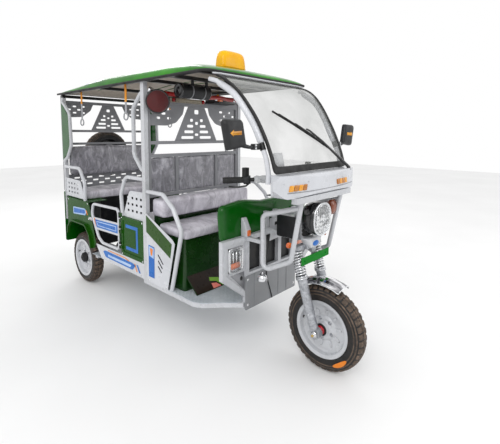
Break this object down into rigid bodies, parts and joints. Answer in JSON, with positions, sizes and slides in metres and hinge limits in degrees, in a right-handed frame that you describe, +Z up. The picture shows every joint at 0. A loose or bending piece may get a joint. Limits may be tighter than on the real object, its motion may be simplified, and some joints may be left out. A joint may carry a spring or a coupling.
{
  "type": "electric auto rickshaw",
  "caption": "Three-wheeled electric passenger rickshaw with an open welded-tube cab, green canopy roof, curved windscreen, steered front fork, facing benches and side gates.",
  "frame": {"origin": "middle of the overall box, on the ground under the wheels", "axes": "+X forward, +Y to the vehicle's left, +Z up"},
  "size_m": [2.88, 1.272, 1.911],
  "materials": {
    "silver_paint": "smooth silver-grey enamel",
    "green_paint": "glossy deep green enamel",
    "grey_paint": "satin mid-grey enamel",
    "floor_steel": "raised-pattern tread plate",
    "chrome": "bright plating",
    "cast_alloy": "cast, satin",
    "black_iron": "black paint on iron",
    "tyre_rubber": "matt tyre rubber",
    "black_rubber": "matt moulded rubber",
    "black_plastic": "fine-grained moulding",
    "seat_vinyl": "pale lilac-grey seat cover under thin film",
    "yellow_plastic": "translucent glossy yellow moulding",
    "clear_glass": "clear",
    "lamp_lens": "clear faceted lens over chromed reflector",
    "green_plate": "plain green plate"
  },
  "bodies": {
    "chassis": {"armrests": "silver_paint", "battery_pack": "black_plastic", "bench_cushion": "seat_vinyl", "brake_cable": "black_rubber", "centre_pillars": "silver_paint", "chassis_frame": "silver_paint", "dashboard": "black_plastic", "driver_cushion": "seat_vinyl", "floor_plate": "floor_steel", "front_apron": "grey_paint", "front_cowl": "silver_paint", "front_frame": "silver_paint", "front_guard": "silver_paint", "front_lamps": "lamp_lens", "front_seat_box": "green_paint", "headlamp": "black_plastic", "inner_bulkhead": "black_plastic", "leg_shield": "green_paint", "lower_side_sheets": "silver_paint", "middle_cushion": "seat_vinyl", "overhead_audio": "black_plastic", "partition": "grey_paint", "partition_pads": "seat_vinyl", "passenger_seat_boxes": "green_paint", "rear_armrests": "silver_paint", "rear_axle": "black_iron", "rear_backrest": "seat_vinyl", "rear_cushion": "seat_vinyl", "rear_fenders": "green_paint", "rear_panels": "green_paint", "rear_pillars": "silver_paint", "rear_wall": "grey_paint", "roof_frame": "silver_paint", "roof_light": "yellow_plastic", "roof_shell": "green_paint", "side_mirrors": "black_plastic", "side_panels": "green_paint", "spare_rim": "silver_paint", "spare_tyre": "tyre_rubber", "tail_lamps": "lamp_lens", "windscreen": "clear_glass", "windscreen_pillars": "silver_paint", "windscreen_rubber": "black_rubber"},
    "steering": {"steering_fork": "cast_alloy", "fork_springs": "chrome", "handlebar": "cast_alloy", "handlebar_grips": "black_rubber", "front_mudguard": "chrome", "number_plate": "green_plate"},
    "front_wheel": {"front_tyre": "tyre_rubber", "front_rim": "silver_paint"},
    "rear_wheel_right": {"rear_tyre_right": "tyre_rubber", "rear_rim_right": "silver_paint"},
    "rear_wheel_left": {"rear_tyre_left": "tyre_rubber", "rear_rim_left": "silver_paint"},
    "right_door": {"right_door": "silver_paint"},
    "left_door": {"left_door": "silver_paint"}
  },
  "joints": [
    {"name": "steering_turn", "type": "hinge", "parent": "chassis", "child": "steering", "pos_m": [1.02068, 0, 0.8], "axis": [-0.2419, 0, 0.9703], "range_deg": [-35, 35]},
    {"name": "front_wheel_spin", "type": "hinge", "parent": "steering", "child": "front_wheel", "pos_m": [1.193, 0, 0.247], "axis": [0, 1, 0], "continuous": true},
    {"name": "rear_wheel_right_spin", "type": "hinge", "parent": "chassis", "child": "rear_wheel_right", "pos_m": [-1.086, -0.359, 0.228], "axis": [0, 1, 0], "continuous": true},
    {"name": "rear_wheel_left_spin", "type": "hinge", "parent": "chassis", "child": "rear_wheel_left", "pos_m": [-1.086, 0.359, 0.228], "axis": [0, 1, 0], "continuous": true},
    {"name": "right_door_swing", "type": "hinge", "parent": "chassis", "child": "right_door", "pos_m": [-0.293, -0.466, 0.6], "axis": [0, 0, 1], "range_deg": [0, 100]},
    {"name": "left_door_swing", "type": "hinge", "parent": "chassis", "child": "left_door", "pos_m": [-0.293, 0.466, 0.6], "axis": [0, 0, -1], "range_deg": [0, 100]}
  ]
}
